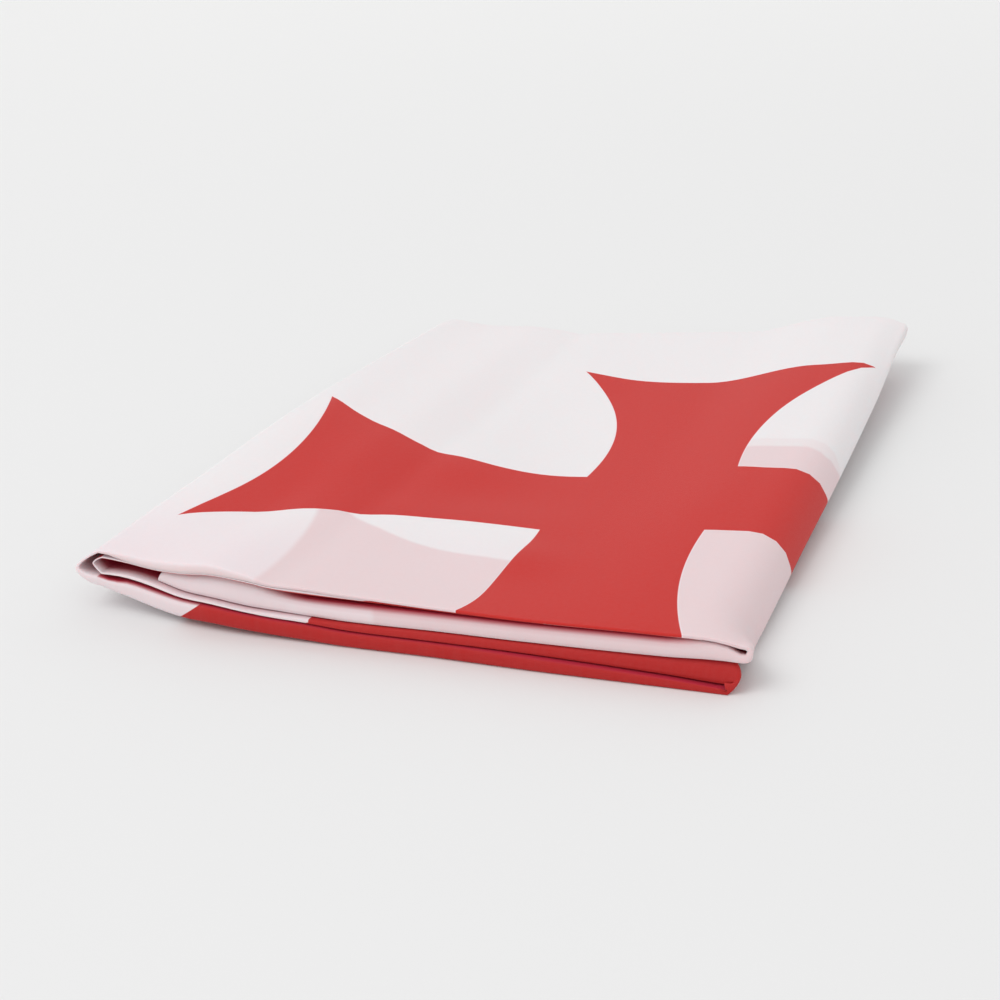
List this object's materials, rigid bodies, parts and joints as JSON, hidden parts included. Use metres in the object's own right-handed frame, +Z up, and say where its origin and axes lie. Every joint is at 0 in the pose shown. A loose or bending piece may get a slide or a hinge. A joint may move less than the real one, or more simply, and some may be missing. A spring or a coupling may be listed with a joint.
{
  "type": "folded outdoor flag",
  "caption": "White printed cloth flag with red crosses, folded back and forth into a flat rectangular packet with open loops along its left side.",
  "frame": {"origin": "middle of the packet's underside, on the surface that it lies on", "axes": "+Z up through the stack of layers, +Y from the packet's front edge to its back, +X along the front edge towards the tight folds"},
  "size_m": [0.15, 0.1968, 0.014],
  "materials": {
    "printed_cloth": "light woven polyester, white with printed red crosses, soft satin sheen"
  },
  "bodies": {
    "root": {"flag": "printed_cloth"}
  },
  "joints": []
}
